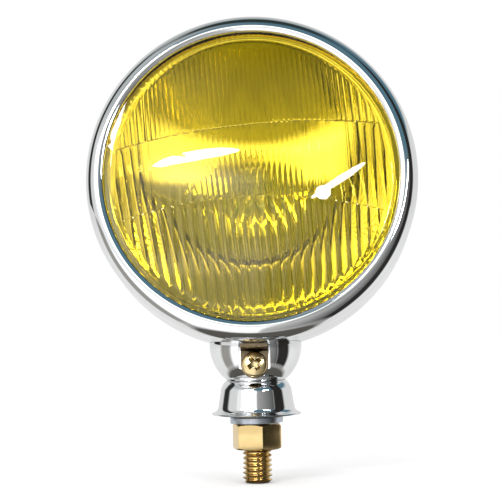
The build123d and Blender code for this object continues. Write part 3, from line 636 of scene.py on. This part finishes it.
# ---- Filament --------------------------------------------------------------------------

STEM_FRONT = -22.32
FILAMENT = STEM_FRONT + 14.0
wire_round = [(0.45 + 0.11 * math.cos(math.radians(a)), 0.11 * math.sin(math.radians(a)))
              for a in range(0, 360, 45)]
coil = spun("filament_coil", wire_round, steps=20, rise=0.4, turns=11, angle=60)
place(coil, Matrix.Rotation(math.radians(90), 4, "Y") @ Matrix.Translation((0, 0, -2.2 * MM)))
close_ends(coil)
place(coil, Matrix.Translation((0, 0, FILAMENT * MM)))
for side_of_coil in (-2.15, 2.15):
    post = spun("post", [(0, STEM_FRONT + 0.02), (0.34, STEM_FRONT + 0.02),
                         (0.34, FILAMENT - 1.2), (0.2, FILAMENT - 0.2), (0, FILAMENT)], 20)
    place(post, Matrix.Translation((side_of_coil * MM, 0, 0)))
    only(coil)
    post.select_set(True)
    bpy.ops.object.join()
smooth(coil, 60)
place(coil, lamp)

# ---- Finishes --------------------------------------------------------------------------


def material(name, colour, metallic=0.0, roughness=0.4):
    """A principled material and its node tree."""
    made = bpy.data.materials.new(name)
    made.use_nodes = True
    shader = made.node_tree.nodes["Principled BSDF"]
    shader.inputs["Base Color"].default_value = (*colour, 1)
    shader.inputs["Metallic"].default_value = metallic
    shader.inputs["Roughness"].default_value = roughness
    return made, made.node_tree, shader


def noise(tree, scale, detail=3.0, stretch=(1, 1, 1)):
    """Noise on the piece's own coordinates, per metre."""
    place_node = tree.nodes.new("ShaderNodeTexCoord")
    mapping = tree.nodes.new("ShaderNodeMapping")
    mapping.inputs["Scale"].default_value = stretch
    tree.links.new(place_node.outputs["Object"], mapping.inputs["Vector"])
    texture = tree.nodes.new("ShaderNodeTexNoise")
    texture.inputs["Scale"].default_value = scale
    texture.inputs["Detail"].default_value = detail
    tree.links.new(mapping.outputs["Vector"], texture.inputs["Vector"])
    return texture.outputs["Fac"]


def ranged(tree, value, low, high, start=0.0, end=1.0):
    """Map a value between two limits onto a range."""
    node = tree.nodes.new("ShaderNodeMapRange")
    node.inputs["From Min"].default_value = start
    node.inputs["From Max"].default_value = end
    node.inputs["To Min"].default_value = low
    node.inputs["To Max"].default_value = high
    tree.links.new(value, node.inputs["Value"])
    return node.outputs["Result"]


def bump(tree, shader, height, strength, distance):
    """Fine relief on a shader's normal."""
    node = tree.nodes.new("ShaderNodeBump")
    node.inputs["Strength"].default_value = strength
    node.inputs["Distance"].default_value = distance
    tree.links.new(height, node.inputs["Height"])
    tree.links.new(node.outputs["Normal"], shader.inputs["Normal"])


def mixed(tree, factor, first, second):
    """A colour between two, by a factor."""
    node = tree.nodes.new("ShaderNodeMix")
    node.data_type = "RGBA"
    for key, colour in (("A", first), ("B", second)):
        if isinstance(colour, tuple):
            node.inputs[key].default_value = (*colour, 1)
        else:
            tree.links.new(colour, node.inputs[key])
    tree.links.new(factor, node.inputs["Factor"])
    return node.outputs["Result"]


def metal(name, bright, dull, smooth_to, rough_to, grain, relief, stretch=(1, 1, 1)):
    """A metal whose colour, polish and relief vary a little over its surface."""
    made, tree, shader = material(name, bright, 1.0, smooth_to)
    cloud = noise(tree, grain, 4.0, stretch)
    tree.links.new(mixed(tree, cloud, bright, dull), shader.inputs["Base Color"])
    tree.links.new(ranged(tree, cloud, smooth_to, rough_to), shader.inputs["Roughness"])
    bump(tree, shader, noise(tree, grain * 6, 2.0, stretch), relief, 0.02 * MM)
    return made


chrome = metal("chrome_plate", (0.86, 0.87, 0.88), (0.81, 0.82, 0.83), 0.02, 0.06, 180, 0.02)
silvering = metal("reflector_silvering", (0.93, 0.93, 0.91), (0.88, 0.88, 0.86), 0.03, 0.08,
                  220, 0.02)
zinc = metal("zinc_plate", (0.58, 0.62, 0.69), (0.44, 0.48, 0.55), 0.2, 0.4, 900, 0.2)
brass_plate = metal("brass_plate", (0.88, 0.67, 0.33), (0.80, 0.57, 0.25), 0.12, 0.2, 500,
                    0.03)
brass = metal("turned_brass", (0.87, 0.72, 0.42), (0.76, 0.58, 0.28), 0.14, 0.28, 900, 0.15)
bronzed = metal("bronzed_strip", (0.22, 0.17, 0.11), (0.12, 0.095, 0.06), 0.2, 0.4, 700, 0.2)
spring_steel = metal("spring_steel", (0.42, 0.42, 0.43), (0.30, 0.30, 0.31), 0.2, 0.38, 800,
                     0.2)
tungsten = metal("tungsten_wire", (0.30, 0.29, 0.29), (0.20, 0.20, 0.20), 0.3, 0.5, 2000, 0.2)


def shade_recesses(finish, reach, shade):
    """Darken a finish where little light gets in, such as a screw's recess."""
    tree = finish.node_tree
    shader = tree.nodes["Principled BSDF"]
    hidden = tree.nodes.new("ShaderNodeAmbientOcclusion")
    hidden.inputs["Distance"].default_value = reach * MM
    open_colour = shader.inputs["Base Color"].links[0].from_socket
    tree.links.new(mixed(tree, ranged(tree, hidden.outputs["AO"], 0, 1, 0.45, 0.85), shade,
                         open_colour), shader.inputs["Base Color"])


shade_recesses(brass, 1.6, (0.10, 0.07, 0.03))


def matt(name, first, second, roughness, grain, relief):
    """A plastic or rubber with a faint mottle and a fine moulded skin."""
    made, tree, shader = material(name, first, 0.0, roughness)
    cloud = noise(tree, grain, 5.0)
    tree.links.new(mixed(tree, cloud, first, second), shader.inputs["Base Color"])
    tree.links.new(ranged(tree, cloud, roughness - 0.08, roughness + 0.08),
                   shader.inputs["Roughness"])
    bump(tree, shader, noise(tree, grain * 8, 3.0), relief, 0.04 * MM)
    return made


rubber = matt("moulded_rubber", (0.028, 0.028, 0.030), (0.045, 0.045, 0.046), 0.62, 500, 0.4)
sleeve = matt("lead_insulation", (0.05, 0.05, 0.055), (0.07, 0.07, 0.075), 0.38, 400, 0.15)
nylon = matt("moulded_nylon", (0.78, 0.76, 0.70), (0.70, 0.68, 0.61), 0.45, 500, 0.2)


def glass(name, tint, roughness):
    """Clear glass tinted by its colour, with faint flow lines."""
    made, tree, shader = material(name, tint, 0.0, roughness)
    shader.inputs["Transmission Weight"].default_value = 1.0
    shader.inputs["IOR"].default_value = 1.5
    cloud = noise(tree, 120, 3.0)
    shade = tuple(part * 0.97 for part in tint)
    tree.links.new(mixed(tree, cloud, tint, shade), shader.inputs["Base Color"])
    bump(tree, shader, noise(tree, 260, 2.0), 0.05, 0.05 * MM)
    return made


lens_glass = glass("yellow_glass", (0.92, 0.79, 0.11), 0.0)
quartz = glass("clear_quartz", (0.97, 0.98, 0.98), 0.0)

FINISHES = {
    "chrome": chrome, "yellow_glass": lens_glass, "clear_glass": quartz,
    "reflector_silver": silvering, "black_rubber": rubber, "spring_steel": spring_steel,
    "zinc_steel": zinc, "bronzed_steel": bronzed, "brass": brass,
    "brass_plated_steel": brass_plate, "tungsten": tungsten, "lead_sleeve": sleeve,
    "nylon": nylon,
}

# Nodes that are kept take the finish of the slot that their record names
for name, node in nodes.items():
    for place_in_node in node.material_slots:
        key = place_in_node.material.name.split(".")[0]
        place_in_node.material = FINISHES[key]

for piece, body, slot, replaced in (
        (rim, "lamp", "chrome", "rim"), (lens, "lamp", "yellow_glass", "lens"),
        (reflector, "lamp", "reflector_silver", "reflector"),
        (bowl, "lamp", "chrome", "housing_bowl"), (cup, "mount", "chrome", "pedestal_cup"),
        (stud, "mount", "brass_plated_steel", "stud"),
        (nut, "nut", "brass_plated_steel", "hex_nut"),
        (washer, "washer", "zinc_steel", "lock_washer"),
        (strap, "lamp", "bronzed_steel", "rim_clip"),
        (strap_screw, "lamp", "brass", "clip_screw"),
        (grommet, "lamp", "black_rubber", "inlet_grommet"),
        (seal, "lamp", "black_rubber", "lens_gasket"),
        (coil, "lamp", "tungsten", "bulb_filament")):
    finish_piece(piece, body, slot, FINISHES[slot], replaced)

# ---- Stage -----------------------------------------------------------------------------

FLOOR = cad_box[0][2] - 0.2 * MM

deselect()
bpy.ops.mesh.primitive_plane_add(size=6, location=(0, 0, FLOOR))
floor = bpy.context.object
floor.name = "floor"


def maths(tree, operation, *values):
    """A maths node on sockets or numbers."""
    node = tree.nodes.new("ShaderNodeMath")
    node.operation = operation
    for socket, value in zip(node.inputs, values):
        if isinstance(value, (int, float)):
            socket.default_value = value
        else:
            tree.links.new(value, socket)
    return node.outputs["Value"]


def zone(tree, value, low, high, soft):
    """1 where a value lies between two limits, with soft edges."""
    rising = ranged(tree, value, 0, 1, low - soft, low + soft)
    falling = ranged(tree, value, 1, 0, high - soft, high + soft)
    return maths(tree, "MULTIPLY", rising, falling)


WHITE = (1.0, 1.0, 1.0)
ROOM = (0.78, 0.78, 0.77)
WALL_NEAR, WALL_FAR = (0.42, 0.42, 0.41), (0.12, 0.12, 0.12)
HAZE = (5.0, 4.9, 4.5)
GREY_CEILING, BLUE_CEILING = (0.50, 0.53, 0.53), (0.10, 0.20, 0.26)
OVERHEAD = (0.03, 0.045, 0.045)
RIGHT_FLAG = (0.025, 0.024, 0.022)
GROUND = (0.10, 0.095, 0.085)


def metal_view(tree, azimuth, elevation, left_flag, flags, lowest):
    """What polished metal sees around the lamp, by direction in degrees: a bright panel with
    a glow at the front left, a grey wall at the front right, two flags, a ceiling that is
    blue towards the right, and dark overhead."""
    heights = zone(tree, elevation, lowest, 60, 6)
    grey = mixed(tree, ranged(tree, azimuth, 0, 1, 3, 55), WALL_NEAR, WALL_FAR)
    seen = mixed(tree, maths(tree, "MULTIPLY", zone(tree, azimuth, -62, 3, 2), heights),
                 ROOM, WHITE)
    seen = mixed(tree, maths(tree, "MULTIPLY", zone(tree, azimuth, 3, 58, 2), heights), seen,
                 grey)
    haze = maths(tree, "MULTIPLY", zone(tree, azimuth, -42, -4, 9),
                 zone(tree, elevation, 17, 26, 5))
    seen = mixed(tree, haze, seen, HAZE)
    ceiling = mixed(tree, zone(tree, azimuth, -14, 138, 22), GREY_CEILING, BLUE_CEILING)
    seen = mixed(tree, ranged(tree, elevation, 0, 1, 28, 40), seen, ceiling)
    blue_side = maths(tree, "MULTIPLY", zone(tree, azimuth, -11, 138, 11),
                      ranged(tree, elevation, 0, 1, 20, 28))
    seen = mixed(tree, blue_side, seen, BLUE_CEILING)
    seen = mixed(tree, ranged(tree, elevation, 0, 1, 58, 72), seen, OVERHEAD)
    for edges, flag in zip(flags, (left_flag, RIGHT_FLAG)):
        seen = mixed(tree, maths(tree, "MULTIPLY", zone(tree, azimuth, *edges, 4), heights),
                     seen, flag)
    return mixed(tree, ranged(tree, elevation, 1, 0, -45, -37), seen, GROUND)


GLASS_FLOOR, GLASS_ROOM = (0.40, 0.40, 0.36), (0.66, 0.66, 0.61)
UPRIGHT_SHADE, GLASS_CEILING = (0.12, 0.12, 0.09), (0.32, 0.35, 0.27)
# Glows seen through the glass, in degrees: the two limits and the softness sideways, the
# same upright, and the colour
GLOWS = (((-34, 37, 5), (-7, -0.5, 1.5), (2.3, 2.3, 8.0)),
         ((-34, -10, 4), (-0.5, 12, 1.5), (3.6, 3.6, 10.0)),
         ((-10, 12, 4), (-0.5, 12, 1.5), (1.2, 1.2, 3.0)),
         ((12, 37, 4), (-0.5, 12, 1.5), (0.5, 0.5, 0.8)),
         ((-72, -36, 5), (-7, 12, 2), (3.2, 3.2, 12.0)),
         ((40, 78, 5), (-7, 12, 2), (2.6, 2.6, 10.0)))


def glass_view(tree, azimuth, elevation):
    """What the reflector shows through the glass: bright glows at eye level, a room broken
    up by upright shades, a dimmer ceiling and a floor that darkens towards the lamp."""
    seen = mixed(tree, ranged(tree, elevation, 0, 1, -24, -10), GLASS_FLOOR, GLASS_ROOM)
    wave = maths(tree, "SINE", maths(tree, "MULTIPLY", azimuth, math.radians(13.0)))
    seen = mixed(tree, ranged(tree, wave, 0, 0.62, -0.4, 0.6), seen, UPRIGHT_SHADE)
    for sideways, upright, colour in GLOWS:
        inside = maths(tree, "MULTIPLY", zone(tree, azimuth, *sideways),
                       zone(tree, elevation, *upright))
        seen = mixed(tree, inside, seen, colour)
    return mixed(tree, ranged(tree, elevation, 0, 1, 12, 17), seen, GLASS_CEILING)


def studio(tree, across_part, toward_part, elevation, left_flag, flags, lowest):
    """The surroundings by direction: the glass's view for rays that pass through glass, and
    the metal's view for all others."""
    azimuth = maths(tree, "MULTIPLY", maths(tree, "ARCTAN2", across_part, toward_part),
                    180 / math.pi)
    rays = tree.nodes.new("ShaderNodeLightPath")
    return mixed(tree, rays.outputs["Is Transmission Ray"],
                 metal_view(tree, azimuth, elevation, left_flag, flags, lowest),
                 glass_view(tree, azimuth, elevation))


def mirror_rays(tree):
    """1 for rays that come from polished metal or through glass."""
    rays = tree.nodes.new("ShaderNodeLightPath")
    return maths(tree, "MAXIMUM", rays.outputs["Is Glossy Ray"],
                 rays.outputs["Is Transmission Ray"])


world = bpy.data.worlds.new("studio")
bpy.context.scene.world = world
world.use_nodes = True
tree = world.node_tree
background = tree.nodes["Background"]
direction = tree.nodes.new("ShaderNodeTexCoord")
parts = tree.nodes.new("ShaderNodeSeparateXYZ")
tree.links.new(direction.outputs["Generated"], parts.inputs["Vector"])
elevation = maths(tree, "MULTIPLY", maths(tree, "ARCSINE", parts.outputs["Z"]), 180 / math.pi)
surroundings = studio(tree, parts.outputs["X"],
                      maths(tree, "MULTIPLY", parts.outputs["Y"], -1.0), elevation,
                      left_flag=(0.03, 0.03, 0.03), flags=((-124, -95), (58, 97)), lowest=-60)
tree.links.new(mixed(tree, mirror_rays(tree), WHITE, surroundings),
               background.inputs["Color"])

# For rays from metal and glass, the floor is painted with the room's light and shade carried
# on below the horizon: painted reflections of its glows, walls and flags, with the flags a
# little shifted and the left one paler, and a painted dark ground close to the lamp. Camera
# rays see the floor plain white, and other rays see it plain pale.
FLOOR_COLOUR = (0.9, 0.9, 0.9)
EYE_HEIGHT = 0.04           # height above the floor from which its directions are taken
floor_paint, tree, shader = material("pale_floor", FLOOR_COLOUR, 0.0, 0.8)
shader.inputs["Specular IOR Level"].default_value = 0.0
floor.data.materials.append(floor_paint)
spot = tree.nodes.new("ShaderNodeTexCoord")
parts = tree.nodes.new("ShaderNodeSeparateXYZ")
tree.links.new(spot.outputs["Object"], parts.inputs["Vector"])
away = maths(tree, "SQRT", maths(
    tree, "ADD", maths(tree, "MULTIPLY", parts.outputs["X"], parts.outputs["X"]),
    maths(tree, "MULTIPLY", parts.outputs["Y"], parts.outputs["Y"])))
below = maths(tree, "MULTIPLY", maths(tree, "ARCTAN2", EYE_HEIGHT, away), -180 / math.pi)
# Painted reflections: the room's light and shade by direction from a point above the floor,
# seen only by rays from metal and glass
surroundings = studio(tree, parts.outputs["X"],
                      maths(tree, "MULTIPLY", parts.outputs["Y"], -1.0), below,
                      left_flag=(0.30, 0.29, 0.27), flags=((-94, -64), (57, 93)), lowest=-40)
camera_rays = tree.nodes.new("ShaderNodeLightPath").outputs["Is Camera Ray"]
plain_floor = mixed(tree, camera_rays, FLOOR_COLOUR, WHITE)
tree.links.new(mixed(tree, mirror_rays(tree), plain_floor, surroundings),
               shader.inputs["Base Color"])


def softbox(name, azimuth, elevation, distance, width, height, roll, power):
    """An elliptical light looking at the lamp. Azimuth 0 is in front, 90 to the right."""
    az, el = math.radians(azimuth), math.radians(elevation)
    direction = Vector((math.sin(az) * math.cos(el), -math.cos(az) * math.cos(el),
                        math.sin(el)))
    light = bpy.data.lights.new(name, "AREA")
    light.shape = "ELLIPSE"
    light.size = width
    light.size_y = height
    light.energy = power
    holder = bpy.data.objects.new(name, light)
    bpy.context.scene.collection.objects.link(holder)
    holder.location = front_centre + direction * distance
    face = direction.to_track_quat("Z", "Y").to_matrix()
    holder.rotation_euler = (face @ Matrix.Rotation(math.radians(roll), 3, "Z")).to_euler()
    holder.visible_camera = False


softbox("left_softbox", azimuth=-25.5, elevation=29, distance=0.8, width=0.47, height=0.055,
        roll=14, power=2.0)
softbox("right_softbox", azimuth=35, elevation=17.5, distance=0.35, width=0.165,
        height=0.016, roll=26, power=0.2)
softbox("glint", azimuth=28, elevation=13.3, distance=0.35, width=0.038, height=0.034,
        roll=0, power=0.1)

# ---- Camera ----------------------------------------------------------------------------

CAMERA_AZIMUTH = math.radians(1.798)
CAMERA_DISTANCE = 0.83202
CAMERA_HEIGHT = 0.06407
CAMERA_PITCH = math.radians(-0.742)
CAMERA_YAW = math.radians(0.086)
CAMERA_ROLL = math.radians(-0.966)

camera_data = bpy.data.cameras.new("camera")
camera_data.sensor_width = 36
camera_data.lens = 184.8
camera_data.clip_start = 0.01
camera = bpy.data.objects.new("camera", camera_data)
bpy.context.scene.collection.objects.link(camera)
camera.location = (CAMERA_DISTANCE * math.sin(CAMERA_AZIMUTH),
                   -CAMERA_DISTANCE * math.cos(CAMERA_AZIMUTH), CAMERA_HEIGHT)
camera_turn = (Matrix.Rotation(CAMERA_AZIMUTH + CAMERA_YAW, 3, "Z")
               @ Matrix.Rotation(math.radians(90) + CAMERA_PITCH, 3, "X")
               @ Matrix.Rotation(CAMERA_ROLL, 3, "Z"))
camera.rotation_euler = camera_turn.to_euler()
bpy.context.scene.camera = camera
bpy.context.scene.view_settings.view_transform = "Standard"
